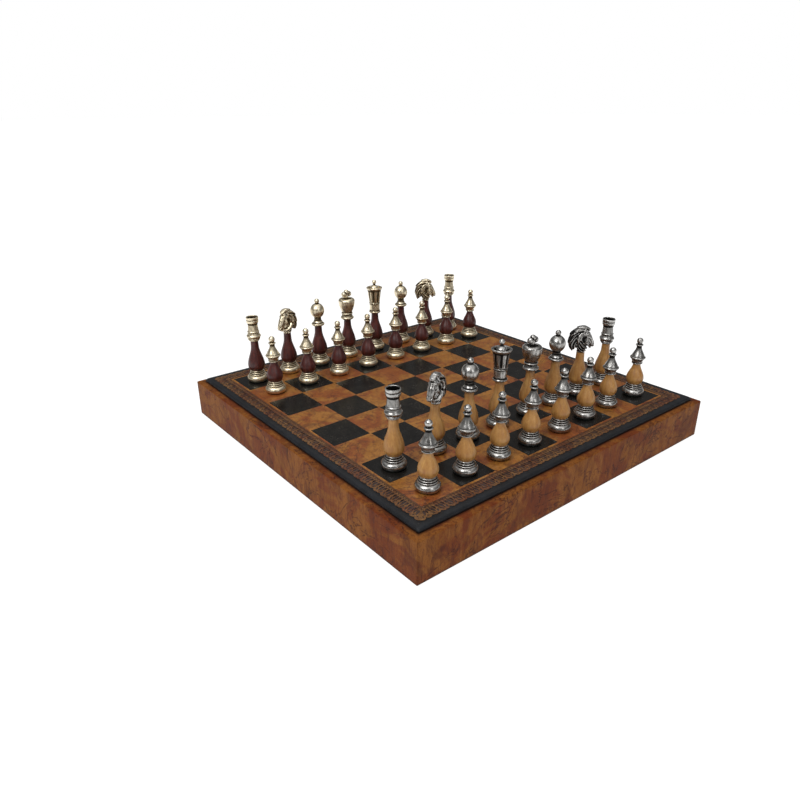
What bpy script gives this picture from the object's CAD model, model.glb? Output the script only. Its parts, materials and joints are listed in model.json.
"""Looks of a chess set on the lift-off board of its storage box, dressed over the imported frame."""
import json
import math

import bpy
import numpy as np
from mathutils import Matrix, Vector, geometry

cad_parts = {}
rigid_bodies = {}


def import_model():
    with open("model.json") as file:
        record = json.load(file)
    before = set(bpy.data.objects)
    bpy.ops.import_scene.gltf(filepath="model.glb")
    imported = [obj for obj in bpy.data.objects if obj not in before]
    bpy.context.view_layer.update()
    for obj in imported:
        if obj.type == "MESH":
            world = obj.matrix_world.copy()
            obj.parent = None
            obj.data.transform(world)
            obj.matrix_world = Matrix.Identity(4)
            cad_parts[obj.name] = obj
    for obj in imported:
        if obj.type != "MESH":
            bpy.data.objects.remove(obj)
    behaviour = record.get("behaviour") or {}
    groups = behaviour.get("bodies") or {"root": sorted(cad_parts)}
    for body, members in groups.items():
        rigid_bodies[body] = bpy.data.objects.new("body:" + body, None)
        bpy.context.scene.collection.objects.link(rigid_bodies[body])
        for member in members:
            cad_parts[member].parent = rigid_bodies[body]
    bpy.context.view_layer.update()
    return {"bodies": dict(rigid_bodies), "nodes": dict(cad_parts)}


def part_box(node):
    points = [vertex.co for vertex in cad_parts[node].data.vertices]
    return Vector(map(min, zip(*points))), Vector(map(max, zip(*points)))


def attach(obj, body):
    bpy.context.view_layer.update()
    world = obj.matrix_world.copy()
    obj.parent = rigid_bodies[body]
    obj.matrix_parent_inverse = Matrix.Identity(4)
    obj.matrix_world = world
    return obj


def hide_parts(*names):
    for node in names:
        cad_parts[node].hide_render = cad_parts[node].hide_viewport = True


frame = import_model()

# ---------- sizes, in millimetres unless said otherwise ----------

MM = 0.001  # metres
FILES = 8
SEAM = 0.1
MARGIN_W = 1.5
LINE_W = 0.8
COVER_T = 0.6
LINING_T = 0.6
DIVIDER_T = 3.0
LAP_GAP = 0.15
BAY_COLUMNS = 4
PAWN_BAY = 66.0
FELT_T = 0.8
FOOT_R = 3.6
SEAT_R = 6.2
BASE_H = 12.2
BELLY_H = 17.0
BELLY_R = 8.4
PAWN_BELLY_R = 7.9
NECK_R = 3.7
PAWN_NECK_R = 3.3
NECK_H = 5.0
PAWN_STEM_TOP = 31.8
TURNS = 72  # facets around a turned man
STEP = 0.4  # spacing of the points along a turned outline
CAST_TURN = 67.0  # degrees from one man's castings to the next, so that no patina repeats
STEM_TURN = 137.0  # the same for the grain of the stems
SILVER_LOOK = (202, -35)  # headings of the two knights of each army, in degrees from +X
GOLD_LOOK = (198, -35)


def corners(node):
    """Lowest and highest corner of a CAD node, in millimetres."""
    low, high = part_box(node)
    return np.array(low) / MM, np.array(high) / MM


def half_width(node):
    low, high = corners(node)
    return (high[0] - low[0]) / 2


SQUARE = (corners("board_dark_squares")[1][0] * 2 + SEAM) / FILES
HALF_FIELD = SQUARE * FILES / 2
LINE_IN = HALF_FIELD + MARGIN_W
BORDER_IN = LINE_IN + LINE_W
BORDER_OUT = corners("board_leather")[1][0]
BOARD_TOP = corners("board_leather")[1][2]
PANEL_TOP = corners("board_panel")[1][2]
LID_HALF = corners("board_edge_roll")[1][0]
BOX_HALF = corners("box_cover")[1][0]
BOX_H = corners("box_cover")[1][2]
BAIZE_T = corners("box_cover")[0][2]
WALL_OUT = corners("box_walls")[1][0]
WALL_IN = corners("box_lining")[1][0]
INNER_HALF = WALL_IN - LINING_T
FLOOR_TOP = corners("box_floor")[1][2]
STEM_TOP = corners("silver_rook_1_stem")[1][2] - BOARD_TOP
BASE_R = half_width("silver_rook_1_metal")
PAWN_BASE_R = half_width("silver_pawn_1")
FOOT_TOP = FELT_T + FOOT_R * (0.8 + math.sin(math.radians(80)))
TAN_TOP = BOARD_TOP - 0.05


# ---------- node materials ----------

class Shader:
    """The nodes of a new material, or of a world, with a short call for each kind of node."""

    def __init__(self, name, world=None):
        self.owner = world or bpy.data.materials.new(name)
        self.owner.use_nodes = True
        self.tree = self.owner.node_tree
        self.tree.nodes.clear()
        self.place = self.node("TexCoord").outputs["Object"]

    def node(self, kind, sockets=None, **settings):
        made = self.tree.nodes.new("ShaderNode" + kind)
        for key, value in settings.items():
            setattr(made, key, value)
        for key, value in (sockets or {}).items():
            if isinstance(value, bpy.types.NodeSocket):
                self.tree.links.new(value, made.inputs[key])
            else:
                made.inputs[key].default_value = value
        return made

    def math(self, operation, *values, clamp=False):
        made = self.node("Math", dict(enumerate(values)), operation=operation, use_clamp=clamp)
        return made.outputs[0]

    def added(self, a, share_a, b, share_b):
        """A share of one value and a share of another, added up."""
        return self.math("ADD", self.math("MULTIPLY", a, share_a), self.math("MULTIPLY", b, share_b))

    def spread(self, value, span, least):
        """A value of 0 to 1, spread over span above least."""
        return self.math("ADD", self.math("MULTIPLY", value, span), least)

    def stretched(self, x, y, z):
        return self.node("VectorMath", {0: self.place, 1: (x, y, z)}, operation="MULTIPLY").outputs[0]

    def noise(self, size, detail=3.0, rough=0.5, warp=0.0, place=None):
        """Noise whose largest features are about size millimetres across."""
        sockets = {"Vector": place or self.place, "Scale": 1 / (size * MM), "Detail": detail,
                   "Roughness": rough, "Distortion": warp}
        return self.node("TexNoise", sockets).outputs[0]

    def cells(self, size, feature="F1", place=None):
        """Distance to the middle of the nearest of many cells, size millimetres across."""
        sockets = {"Vector": place or self.place, "Scale": 1 / (size * MM)}
        return self.node("TexVoronoi", sockets, feature=feature).outputs["Distance"]

    def attribute(self, name):
        return self.node("Attribute", attribute_name=name).outputs["Fac"]

    def ramp(self, value, *stops):
        """Stops are (position, number or colour)."""
        made = self.node("ValToRGB", {"Fac": value})
        elements = made.color_ramp.elements
        while len(elements) < len(stops):
            elements.new(0.5)
        for element, (position, colour) in zip(elements, stops):
            element.position = position
            element.color = (*colour, 1) if isinstance(colour, tuple) else (colour, colour, colour, 1)
        return made.outputs[0]

    def mix(self, share, a, b, blend="MIX"):
        made = self.node("Mix", data_type="RGBA", blend_type=blend)
        for key, value in ((0, share), (6, a), (7, b)):
            if isinstance(value, bpy.types.NodeSocket):
                self.tree.links.new(value, made.inputs[key])
            else:
                made.inputs[key].default_value = (*value, 1) if isinstance(value, tuple) else value
        return made.outputs[2]

    def over(self, colour, other, value, *stops):
        """Lays the other colour over the first, as far as the ramp of a value says."""
        return self.mix(self.ramp(value, *stops), colour, other)

    def bump(self, height, depth):
        """A normal from a height of 0 to 1, depth millimetres deep."""
        return self.node("Bump", {"Height": height, "Distance": depth * MM, "Strength": 1.0}).outputs[0]

    def finish(self, **values):
        """The finished material. A name stands for a socket, with _ for each space."""
        sockets = {}
        for key, value in values.items():
            name = "Specular IOR Level" if key == "Specular" else key.replace("_", " ")
            sockets[name] = (*value, 1) if isinstance(value, tuple) else value
        shader = self.node("BsdfPrincipled", sockets)
        self.node("OutputMaterial", {0: shader.outputs[0]})
        return self.owner


def antique_metal(name, bright, dull, dark, satin):
    """Polished castings whose recesses hold dark patina."""
    s = Shader(name)
    patches = s.noise(3.5, detail=4.0, rough=0.6)
    fine = s.noise(0.5, detail=3.0, rough=0.6)
    depth = s.math("ADD", s.attribute("cavity"), s.math("MULTIPLY", s.math("SUBTRACT", patches, 0.5), 0.16))
    patina = s.ramp(depth, (0.01, 0.0), (0.045, 0.5), (0.1, 1.0))
    colour = s.mix(patina, s.ramp(patches, (0.35, dull), (0.6, bright)), dark)
    rough = s.math("ADD", s.added(patina, 0.3, patches, 0.16), satin)
    normal = s.bump(s.added(patches, 0.8, fine, 0.2), 0.03)
    return s.finish(Base_Color=colour, Metallic=1.0, Roughness=rough, Normal=normal)


def turned_wood(name, light, mid, dark, streak, gloss):
    """Varnished wood with its grain along the stem."""
    s = Shader(name)
    along = s.stretched(1.0, 1.0, 0.12)
    bands = s.noise(2.6, detail=5.0, rough=0.62, warp=0.6, place=along)
    pores = s.noise(0.35, detail=2.0, rough=0.6, place=s.stretched(1.0, 1.0, 0.08))
    shade = s.noise(14.0, detail=2.0)
    colour = s.ramp(bands, (0.3, dark), (0.5, mid), (0.72, light))
    colour = s.mix(s.ramp(pores, (0.3, streak), (0.55, 0.0)), colour, dark, "MULTIPLY")
    colour = s.mix(s.ramp(shade, (0.35, 0.3), (0.65, 0.0)), colour, mid, "MULTIPLY")
    normal = s.bump(s.math("ADD", bands, pores), 0.03)
    return s.finish(Base_Color=colour, Roughness=s.spread(bands, 0.2, 0.3), Normal=normal,
                    Coat_Weight=gloss, Coat_Roughness=0.18)


def plain_wood(name, light, dark, along):
    """Planed wood of the box's own carcass; along is the direction of the grain, 0 for X or 1 for Y."""
    s = Shader(name)
    stretch = [1.0, 1.0, 1.0]
    stretch[along] = 0.06
    place = s.stretched(*stretch)
    grain = s.noise(6.0, detail=6.0, rough=0.65, warp=0.8, place=place)
    pores = s.noise(0.7, detail=2.0, place=place)
    colour = s.over(s.ramp(grain, (0.32, dark), (0.68, light)), dark, pores, (0.35, 0.5), (0.6, 0.0))
    return s.finish(Base_Color=colour, Roughness=0.55, Normal=s.bump(s.math("ADD", grain, pores), 0.06))


def marbled_colour(s, streaks, tans, reds, smudge, vein):
    """Tan, orange and red-brown clouds with fibres, dark smudges and wandering veins."""
    swirl = s.noise(52.0, detail=5.0, rough=0.6, warp=1.8)
    drift = s.noise(17.0, detail=5.0, rough=0.62, warp=1.0, place=streaks)
    fibres = s.noise(2.6, detail=5.0, rough=0.72, warp=0.5, place=streaks)
    clouds = s.noise(26.0, detail=5.0, rough=0.65, warp=1.4, place=s.stretched(1.0, -1.0, 0.7))
    wander = s.noise(48.0, detail=5.0, rough=0.6, warp=0.9)
    specks = s.noise(0.9, detail=2.0, rough=0.7)
    warm = s.over(tans[1], reds[1], swirl, (0.5, 0.0), (0.6, 1.0))
    colour = s.over(tans[0], reds[0], swirl, (0.45, 0.0), (0.54, 1.0))
    colour = s.over(colour, warm, drift, (0.42, 0.0), (0.62, 0.9))
    colour = s.over(colour, smudge, fibres, (0.32, 0.8), (0.5, 0.0))
    colour = s.over(colour, tans[1], fibres, (0.54, 0.0), (0.72, 0.55))
    colour = s.over(colour, smudge, clouds, (0.54, 0.0), (0.66, 0.62))
    line = s.math("ABSOLUTE", s.math("SUBTRACT", wander, 0.5))
    colour = s.over(colour, vein, line, (0.0, 0.85), (0.011, 0.0))
    return s.over(colour, vein, specks, (0.3, 0.6), (0.44, 0.0)), fibres


def leatherette():
    """The marbled cover of the box, with its fibres upright on the sides and darker folds."""
    s = Shader("marbled_leatherette")
    colour, fibres = marbled_colour(
        s, s.stretched(1.0, 1.0, 0.25), ((0.19, 0.064, 0.012), (0.24, 0.088, 0.02)),
        ((0.14, 0.032, 0.009), (0.17, 0.045, 0.012)), (0.07, 0.018, 0.009), (0.035, 0.01, 0.007))
    colour = s.mix(s.attribute("fold"), colour, (0.022, 0.009, 0.007))
    pebbles = s.cells(0.8, place=s.stretched(1.0, 1.0, 0.7))
    return s.finish(Base_Color=colour, Roughness=s.spread(fibres, 0.25, 0.42), Specular=0.06,
                    Normal=s.bump(s.added(fibres, 0.8, pebbles, 0.5), 0.1))


def tan_leather():
    """The orange-brown leather of the light squares and the border."""
    s = Shader("tan_leather")
    colour, fibres = marbled_colour(
        s, s.stretched(1.0, 1.0, 1.0), ((0.3, 0.12, 0.02), (0.37, 0.16, 0.034)),
        ((0.22, 0.058, 0.014), (0.27, 0.082, 0.018)), (0.085, 0.027, 0.012), (0.06, 0.017, 0.009))
    return s.finish(Base_Color=colour, Roughness=s.spread(fibres, 0.2, 0.3), Specular=0.25,
                    Normal=s.bump(s.added(fibres, 0.6, s.cells(0.7), 0.4), 0.06))


def band_leather():
    """The darker, worn leather of the stamped border."""
    s = Shader("border_band_leather")
    swirl = s.noise(24.0, detail=4.0, rough=0.6, warp=1.0)
    wear = s.noise(3.2, detail=6.0, rough=0.72, warp=0.6)
    specks = s.noise(1.1, detail=3.0, rough=0.7)
    tan, red, pale = (0.165, 0.08, 0.03), (0.125, 0.043, 0.019), (0.25, 0.135, 0.06)
    grime, soot = (0.035, 0.016, 0.01), (0.02, 0.01, 0.008)
    colour = s.over(tan, red, swirl, (0.42, 0.0), (0.58, 1.0))
    colour = s.over(colour, pale, wear, (0.52, 0.0), (0.7, 0.7))
    colour = s.over(colour, grime, wear, (0.32, 0.85), (0.46, 0.0))
    colour = s.over(colour, soot, specks, (0.34, 0.8), (0.46, 0.0))
    return s.finish(Base_Color=colour, Roughness=s.spread(wear, 0.2, 0.34), Specular=0.2,
                    Normal=s.bump(s.added(wear, 0.6, s.cells(0.7), 0.4), 0.1))


def black_leather(name, low, high, gloss, depth):
    """Grained black leather."""
    s = Shader(name)
    grain = s.cells(0.55, "SMOOTH_F1")
    wear = s.noise(9.0, detail=5.0, rough=0.6)
    height = s.added(grain, 0.6, s.noise(5.0, detail=4.0), 0.5)
    return s.finish(Base_Color=s.ramp(wear, (0.3, low), (0.7, high)), Specular=0.24,
                    Roughness=s.spread(wear, 0.16, gloss), Normal=s.bump(height, depth))


def stamped_ink():
    """The dark floor of the stamped ornament and the tooled line."""
    s = Shader("stamped_ink")
    wear = s.noise(2.2, detail=4.0, rough=0.65)
    ink, thin, bare = (0.014, 0.007, 0.006), (0.035, 0.014, 0.012), (0.09, 0.035, 0.02)
    return s.finish(Base_Color=s.ramp(wear, (0.35, ink), (0.6, thin), (0.76, bare)),
                    Roughness=s.spread(wear, 0.2, 0.3), Normal=s.bump(s.noise(0.6), 0.05))


def cloth(name, low, high, size, depth, sheen):
    """Felt, baize or velvet: short fibres over slow changes of shade."""
    s = Shader(name)
    nap = s.noise(size, detail=6.0, rough=0.75, warp=0.4)
    shade = s.noise(18.0, detail=3.0, rough=0.6)
    colour = s.ramp(s.added(nap, 0.6, shade, 0.4), (0.36, low), (0.62, high))
    return s.finish(Base_Color=colour, Roughness=0.95, Specular=0.15,
                    Sheen_Weight=sheen, Sheen_Roughness=0.45, Normal=s.bump(nap, depth))


def floor_paint():
    """The pale studio floor, a table lit a little from below."""
    s = Shader("studio_floor")
    shade = s.ramp(s.noise(400.0, detail=1.0), (0.3, (0.3, 0.3, 0.3)), (0.7, (0.32, 0.32, 0.32)))
    return s.finish(Base_Color=shade, Roughness=0.9, Specular=0.1,
                    Emission_Color=(1.0, 1.0, 1.0), Emission_Strength=0.85)


SILVER = antique_metal("antique_silver", (0.52, 0.51, 0.49), (0.27, 0.26, 0.245),
                       (0.016, 0.015, 0.014), 0.2)
GOLD = antique_metal("antique_gold", (0.9, 0.8, 0.6), (0.68, 0.58, 0.4), (0.09, 0.062, 0.03), 0.27)
LIGHT_WOOD = turned_wood("light_wood", (0.58, 0.325, 0.1), (0.46, 0.24, 0.068),
                         (0.36, 0.155, 0.042), 0.25, 0.1)
DARK_WOOD = turned_wood("dark_wood", (0.16, 0.024, 0.014), (0.09, 0.013, 0.009),
                        (0.035, 0.006, 0.005), 0.6, 0.12)
FELT = cloth("felt", (0.008, 0.02, 0.012), (0.016, 0.042, 0.024), 0.5, 0.12, 0.2)
BAIZE = cloth("baize", (0.01, 0.035, 0.018), (0.02, 0.065, 0.034), 0.6, 0.15, 0.3)
VELVET = cloth("velvet", (0.008, 0.032, 0.016), (0.02, 0.075, 0.04), 0.4, 0.12, 0.8)
LEATHERETTE = leatherette()
TAN = tan_leather()
BAND = band_leather()
BLACK_SQUARE = black_leather("black_square_leather", (0.0065, 0.006, 0.0055),
                             (0.014, 0.0125, 0.011), 0.17, 0.03)
BLACK_ROLL = black_leather("black_roll_leather", (0.007, 0.0075, 0.0085), (0.014, 0.016, 0.02), 0.42, 0.08)
INK = stamped_ink()
CARCASS_X = plain_wood("carcass_wood_x", (0.46, 0.3, 0.16), (0.29, 0.17, 0.08), 0)
CARCASS_Y = plain_wood("carcass_wood_y", (0.43, 0.28, 0.15), (0.27, 0.155, 0.075), 1)


# ---------- meshes ----------

def make_mesh(name, points, faces, materials, chosen=None, sharp=38.0, **values):
    """A smooth mesh from points in millimetres, with each face's material and values at each point."""
    mesh = bpy.data.meshes.new(name)
    mesh.from_pydata((np.asarray(points, float) * MM).tolist(), [], faces)
    for material in materials:
        mesh.materials.append(material)
    if chosen is not None:
        mesh.polygons.foreach_set("material_index", np.asarray(chosen, np.int32))
    for key, value in values.items():
        attribute = mesh.attributes.new(key, "FLOAT", "POINT")
        attribute.data.foreach_set("value", np.asarray(value, np.float32))
    mesh.update()
    mesh.shade_smooth()
    mesh.set_sharp_from_angle(angle=math.radians(sharp))
    return mesh


def placed(name, data):
    """A new object in the scene."""
    made = bpy.data.objects.new(name, data)
    bpy.context.scene.collection.objects.link(made)
    return made


def add_piece(name, mesh, body, slot, *nodes, at=(0, 0, 0), turn=0.0):
    """Puts a mesh in the scene as a piece that rides on a body and stands for CAD nodes."""
    piece = placed(name, mesh)
    piece.matrix_world = Matrix.Translation(Vector(at) * MM) @ Matrix.Rotation(math.radians(turn), 4, "Z")
    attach(piece, body)
    if nodes:
        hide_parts(*nodes)
    return piece


def joined(parts):
    """Points, faces, material numbers and cavities of several (points, faces, material, cavity) as one.

    The material is one number, or a number for each face."""
    points, faces, chosen, cavity, start = [], [], [], [], 0
    for part_points, part_faces, material, part_cavity in parts:
        points.append(np.asarray(part_points, float))
        faces += [[corner + start for corner in face] for face in part_faces]
        chosen += np.broadcast_to(material, len(part_faces)).tolist()
        cavity.append(np.broadcast_to(np.asarray(part_cavity, float), len(part_points)))
        start += len(part_points)
    return np.vstack(points), faces, chosen, np.concatenate(cavity)


def ring_quads(rings, count, closed=False):
    """Quads between rings of count points each. A closed set also joins the last ring to the first."""
    faces = []
    for ring in range(rings if closed else rings - 1):
        here, there = ring * count, (ring + 1) % rings * count
        for i in range(count):
            j = (i + 1) % count
            faces.append((here + i, here + j, there + j, there + i))
    return faces


def capped(points, faces, count):
    """The faces of a stack of rings, with its last and its first ring closed."""
    last = len(points) - count
    return faces + [list(range(last, len(points))), list(range(count))[::-1]]


def left_of(way):
    """Directions of length 1, square to the ways in a plane and to their left."""
    square = np.stack([-way[..., 1], way[..., 0]], axis=-1)
    return square / np.maximum(np.linalg.norm(way, axis=-1, keepdims=True), 1e-9)


# ---------- outlines of turned pieces: lists of (radius, height) ----------

def arc(centre, r, a, b, n=10):
    angles = np.radians(np.linspace(a, b, n + 1))
    return [(centre[0] + r * math.cos(t), centre[1] + r * math.sin(t)) for t in angles]


def sweep(p, q, n, across):
    """Points on from p up to q. across(t) is the share of the way across at the share t of the height."""
    shares = [i / n for i in range(1, n + 1)]
    return [(p[0] + (q[0] - p[0]) * across(t), p[1] + (q[1] - p[1]) * t) for t in shares]


def sway(p, q, n=12):
    """Upright at both ends."""
    return sweep(p, q, n, lambda t: (1 - math.cos(math.pi * t)) / 2)


def leave(p, q, n=12):
    """Upright at p."""
    return sweep(p, q, n, lambda t: 1 - math.cos(math.pi / 2 * t))


def arrive(p, q, n=12):
    """Upright at q."""
    return sweep(p, q, n, lambda t: math.sin(math.pi / 2 * t))


def bead(r, z, t, n=8):
    """A half round of radius t that reaches out to r."""
    return arc((r - t, z), t, -90, 90, n)


def even(outline, step=STEP):
    """The outline with a point about every step."""
    points = np.array(outline, float)
    apart = np.linalg.norm(np.diff(points, axis=0), axis=1)
    points = points[np.r_[True, apart > 1e-6]]
    length = np.r_[0, np.cumsum(apart[apart > 1e-6])]
    places = np.linspace(0, length[-1], max(3, round(length[-1] / step)) + 1)
    return np.stack([np.interp(places, length, points[:, i]) for i in (0, 1)], axis=1)


def eased(points, passes):
    """Points with their corners rounded, and the two ends kept."""
    points = points.copy()
    for _ in range(passes):
        points[1:-1] = (points[:-2] + 2 * points[1:-1] + points[2:]) / 4
    return points


def turned(outline, turns=TURNS, flute=None):
    """Points, faces and cavity of an outline turned about Z, sunk by flute(angle, height)."""
    line = eased(even(outline, STEP / 2), 2)[::2] if len(outline) > 3 else even(outline)
    line[0, 0] = line[-1, 0] = 0
    outward = -left_of(np.gradient(line, axis=0))
    cavity = np.sum((eased(line, 12) - line) * outward, axis=1)
    cavity[:2] = cavity[-2:] = 0
    angles = np.arange(turns) * 2 * math.pi / turns
    inner = line[1:-1]
    push = flute(angles[None, :], inner[:, 1][:, None]) if flute else np.zeros((len(inner), turns))
    radius = inner[:, :1] - push
    points = np.stack([radius * np.cos(angles), radius * np.sin(angles),
                       np.repeat(inner[:, 1:], turns, axis=1)], axis=2).reshape(-1, 3)
    points = np.vstack([points, [[0, 0, line[0, 1]]], [[0, 0, line[-1, 1]]]])
    worn = np.append(cavity[1:-1, None] + 0.55 * push, [0, 0])
    faces = ring_quads(len(inner), turns)
    low, high, last = len(points) - 2, len(points) - 1, (len(inner) - 1) * turns
    for i in range(turns):
        j = (i + 1) % turns
        faces.append((low, j, i))
        faces.append((high, last + i, last + j))
    return points, faces, worn


def base_outline(r):
    """A round foot and three fine rings that step in towards the stem's seat."""
    pitch = (BASE_H - FOOT_TOP) / 3.1
    rings = []
    for i in range(3):
        z = FOOT_TOP + (i + 0.5) * pitch
        rings.append((SEAT_R + 0.9 - 0.6 * i, z - 0.5 * pitch))
        rings += bead(SEAT_R + 1.8 - 0.75 * i, z, 0.32 * pitch, 6)
    foot = arc((r - FOOT_R, FELT_T + 0.8 * FOOT_R), FOOT_R, -53, 84, 22)
    return [(0, FELT_T), (r - FOOT_R * 0.55, FELT_T), *foot, (SEAT_R + 1.0, FOOT_TOP - 0.5), *rings,
            (SEAT_R - 0.6, BASE_H - 0.2), (SEAT_R - 0.6, BASE_H), (0, BASE_H)]


def stem_outline(seat, belly_r, neck_r, top, neck):
    rise = arrive((seat, BASE_H), (belly_r, BELLY_H), 14)
    shoulder = sway((belly_r, BELLY_H), (neck_r + (0.2 if neck else 0), top - neck), 20)
    return [(0, BASE_H), (seat, BASE_H), *rise, *shoulder, (neck_r, top), (0, top)]


def rook_outline(h=24.3, rim=6.0, hole=5.0, depth=7.5, tower=5.2, collar=7.0):
    waist, cup = tower - 0.7, h - 6.2
    return [(0, 0), (collar - 2.4, 0), *bead(collar - 1.7, 0.7, 0.5), (collar - 2.0, 1.35),
            *bead(collar - 0.85, 2.15, 0.6), (collar - 1.15, 2.95), (collar - 0.7, 3.5),
            *arc((collar - 1.1, 5.1), 1.1, -60, 60, 10), *arrive((collar - 0.6, 6.1), (tower + 0.25, 8.7), 8),
            *bead(tower + 0.75, 9.5, 0.6), (tower, 10.4), (waist + 0.1, cup - 1.0), (waist - 0.05, cup - 0.7),
            *sway((waist - 0.1, cup - 0.7), (rim - 0.2, cup + 0.8), 10), (rim - 0.1, h - 3.3),
            (rim - 0.5, h - 2.8), (rim, h - 2.3), (rim, h - 0.5), *arc((rim - 0.4, h - 0.4), 0.4, 0, 90, 4),
            (hole + 0.3, h), (hole, h - 0.4), (hole, h - depth), (0, h - depth)]


def bishop_outline(ball=7.3, ball_z=16.2, bead_r=2.6, lip=6.9):
    """A saucer, a slim waist, a ball that is a little taller than wide, and a small ball on top."""
    top_z = ball_z + 7.4 + 0.95 * bead_r + 0.2
    globe = [(x, z + 0.08 * (z - ball_z)) for x, z in arc((0, ball_z), ball, -60, 73, 34)]
    return [(0, 0), (lip - 2.1, 0), *arc((lip - 1.3, 1.9), 1.2, -60, 90, 14), (lip - 1.7, 3.5),
            (lip - 1.8, 4.1), (4.3, 5.3), (3.7, 6.4), (3.55, 7.4), *globe,
            *arc((0, top_z), bead_r, -48, 90, 16)]


def king_outline(urn_h=23.6, urn_r=8.8, lip=7.1, spike=1.9, spike_top=27.1):
    waist, shoulder, widest = 0.62 * urn_r, 3.0, urn_h - 4.0
    return [(0, 0), (lip - 1.4, 0), (lip - 0.1, 1.0), (lip, 1.6), (lip - 0.1, 2.2), (lip - 1, 2.9),
            (waist + 0.1, 4.2), (waist, 5.2), *bead(waist + 0.7, 6.4, 0.7), (waist, 7.4),
            (waist + 0.1, 8.4), *arrive((waist + 0.2, 8.4), (urn_r - 0.2, widest - 0.4), 20),
            *arc((urn_r - shoulder, widest), shoulder, 5, 82, 16), (urn_r / 2 + 1.0, urn_h - 1.1),
            (urn_r / 2 + 0.3, urn_h - 2.0), (spike + 0.9, urn_h - 1.9), (spike, urn_h - 0.9),
            (spike, spike_top), (0, spike_top)]


def queen_outline(cup_h=28.4, rim=8.75, body=5.6, hollow=3.4, bead_r=2.4):
    lip, ring_z, dome = body + 0.75, 10.9, 4.5
    flare, floor_z, neck = (body + 1.7, 0.85 * cup_h), cup_h - hollow, (0.54 * bead_r, cup_h + 3.2)
    crown = leave((dome, cup_h - 0.8), (neck[0], neck[1] - 0.5), 16)
    return [(0, 0), (lip - 0.6, 0), (lip, 0.8), (lip, 1.5), (body - 0.1, 2.4), (body - 0.1, 3.2),
            (body, ring_z - 1.1), *bead(body + 0.45, ring_z, 0.5), (body, ring_z + 0.8),
            (body + 0.2, ring_z + 1.3), flare, *leave(flare, (rim, cup_h - 1.0), 12), (rim, cup_h - 0.4),
            (rim - 0.5, cup_h), (body + 1.4, cup_h), (body + 0.9, cup_h - 0.7), (body + 0.5, floor_z),
            (dome, floor_z), (dome, cup_h - 0.8), *crown, neck,
            *arc((0, neck[1] + 1.05 * bead_r), bead_r, -56, 90, 16)]


def bell(share):
    """A full shoulder that runs out into a slim neck."""
    return 0.275 * (1 - math.cos(math.pi * share)) + 0.45 * (1 - (1 - share) ** 2)


def pawn_outline(h=24.7, rim=7.1, waist=2.3, ball=2.95):
    ball_z = h - ball
    ring_z, lip, cup = ball_z - ball - 0.7, ball + 0.6, rim - 2.4
    skirt = sweep((rim - 0.85, 6.85), (waist, ring_z - 1.7), 24, bell)
    return [(0, 0), (cup, 0), *arc((cup, 0.45), 0.4, -80, 80, 5), (cup - 0.05, 0.95),
            *leave((cup, 1.0), (rim - 1.15, 4.6), 12), (rim - 1.25, 4.8), *bead(rim, 5.9, 0.95, 12),
            (rim - 0.9, 6.8), *skirt, (waist, ring_z - 1.5),
            (ball, ring_z - 0.75), *arc((lip - 0.5, ring_z), 0.5, -80, 80, 6), (0.64 * ball, ring_z + 0.8),
            *arc((0, ball_z), ball, -48, 90, 18)]


def coronet_flutes(angle, height, low=12.4, high=25.2, count=8, depth=0.45):
    """Upright grooves between the coronet's ring and its rim, rounded at both ends."""
    share = np.clip((height - low) / (high - low), 0, 1)
    fade = np.clip(np.minimum(share, 1 - share) * 9, 0, 1)
    outside = (height > low) & (height < high)
    return depth * np.sqrt(fade) * outside * (0.5 + 0.5 * np.cos(count * angle)) ** 3


def bell_petals(angle, height, low=7.2, high=13.5, count=10, depth=0.09):
    """Shallow flutes that fade out up the pawn's bell."""
    share = np.clip((height - low) / (high - low), 0, 1)
    return depth * np.sin(math.pi * share) ** 0.8 * (0.5 + 0.5 * np.cos(count * angle))


def ball(centre, r, turns=32):
    """A sphere, turned like the rest, about its own upright axis."""
    points, faces, _ = turned(arc((0, 0), r, -90, 90, 24), turns)
    return points + np.array(centre), faces


def trefoil(lobe=2.8, low=27.1):
    """Three round lobes on the king's spike, dark where they meet."""
    centres = [(s * 1.1 * lobe, 0, low) for s in (-1, 1)] + [(0, 0, low + 1.95)]
    parts = []
    for centre in centres:
        points, faces = ball(centre, lobe)
        others = [other for other in centres if other != centre]
        gap = np.min([np.linalg.norm(points - other, axis=1) - lobe for other in others], axis=0)
        parts.append((points, faces, 0, np.clip(0.28 - 0.3 * np.abs(gap), 0, 1)))
    return parts


# ---------- the horse head, carved as a distance field ----------

SQUEEZE = 0.96  # along the head
LEAN = 0.7  # of the neck, backwards
MANE_X, MANE_Z = 2.5, 12.9  # middle of the mane's curve
CHEEK_X, CHEEK_Z, CHEEK_TALL = 1.0, 13.2, 1.35  # the cheek's hollow


def rod(p, a, b, ra, rb):
    """Distance to a rod from a to b whose radius goes from ra to rb."""
    a, b = np.array(a, float), np.array(b, float)
    along = np.clip(((p - a) @ (b - a)) / max((b - a) @ (b - a), 1e-9), 0, 1)
    return np.linalg.norm(p - a - along[..., None] * (b - a), axis=-1) - (ra + (rb - ra) * along)


def blend(a, b, k):
    """Union of two distances, rounded over k."""
    h = np.clip(0.5 + 0.5 * (b - a) / k, 0, 1)
    return b + (a - b) * h - k * h * (1 - h)


def cut(a, b, k):
    """The first distance with the second one's body taken away, rounded over k."""
    return -blend(-a, b, k)


def bow(p, points, radii):
    """Distance to rods laid end to end."""
    runs = [rod(p, points[i], points[i + 1], radii[i], radii[i + 1]) for i in range(len(points) - 1)]
    return np.min(runs, axis=0)


def trail(x, z, points):
    """Distance in the side view to a line of points."""
    return bow(np.stack([x, z], axis=-1), points, [0.0] * len(points))


def bump(distance, width):
    """1 at distance 0, fading out over the width."""
    return np.exp(-(distance / width) ** 2)


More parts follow.
